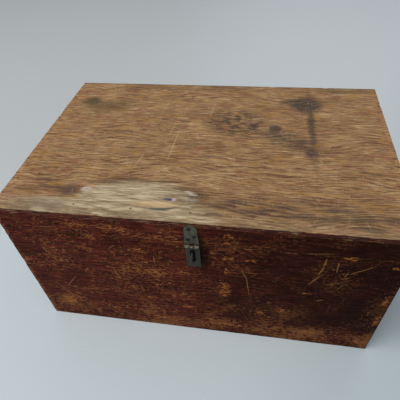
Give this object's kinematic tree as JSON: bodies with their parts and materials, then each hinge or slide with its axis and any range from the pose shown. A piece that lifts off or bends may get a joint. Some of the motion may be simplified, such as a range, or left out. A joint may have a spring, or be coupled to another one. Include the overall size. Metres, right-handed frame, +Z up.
{
  "type": "lidded apple box",
  "caption": "Lidded plywood apple box: a low wooden chest whose hinged lid is held shut by a hasp over a wire staple.",
  "frame": {"origin": "centre of the underside, midway across the front and back panels", "axes": "+Z up, +X to the right seen from the front, and the hasp's front faces -Y"},
  "size_m": [0.61, 0.4073, 0.31],
  "materials": {
    "stained_ply": "satin, worn",
    "stained_board": "satin, worn",
    "worn_ply": "matte, worn",
    "bare_ply": "matte",
    "bare_cleat": "matte",
    "nail_steel": "rusted",
    "screw_steel": "tarnished",
    "aged_steel": "tarnished",
    "hinge_steel": "tarnished"
  },
  "bodies": {
    "box": {"front_panel": "stained_ply", "back_panel": "stained_ply", "left_end": "stained_board", "right_end": "stained_board", "bottom_panel": "bare_ply", "bottom_cleat_front": "bare_cleat", "bottom_cleat_back": "bare_cleat", "front_nails": "nail_steel", "back_nails": "nail_steel", "bottom_nails": "nail_steel", "staple": "aged_steel", "body_leaf_left": "hinge_steel", "body_leaf_right": "hinge_steel", "hinge_pin_left": "hinge_steel", "hinge_pin_right": "hinge_steel", "body_leaf_screws_left": "screw_steel", "body_leaf_screws_right": "screw_steel"},
    "lid": {"lid_panel": "worn_ply", "lid_front_rail": "stained_ply", "lid_back_rail": "stained_ply", "lid_left_end": "stained_board", "lid_right_end": "stained_board", "lid_cleat_front": "bare_cleat", "lid_cleat_back": "bare_cleat", "lid_panel_nails": "nail_steel", "lid_front_nails": "nail_steel", "lid_back_nails": "nail_steel", "lid_leaf_left": "hinge_steel", "lid_leaf_right": "hinge_steel", "lid_leaf_screws_left": "screw_steel", "lid_leaf_screws_right": "screw_steel", "hasp_plate": "aged_steel", "hasp_screws": "screw_steel", "hasp_pin": "aged_steel"},
    "hasp": {"hasp_strap": "aged_steel"}
  },
  "joints": [
    {"name": "lid_hinge", "type": "hinge", "parent": "box", "child": "lid", "pos_m": [0, 0.1973, 0.2634], "axis": [-1, 0, 0], "range_deg": [0, 180]},
    {"name": "hasp_hinge", "type": "hinge", "parent": "lid", "child": "hasp", "pos_m": [0.002, -0.1971, 0.262], "axis": [-1, 0, 0], "range_deg": [0, 180]}
  ]
}
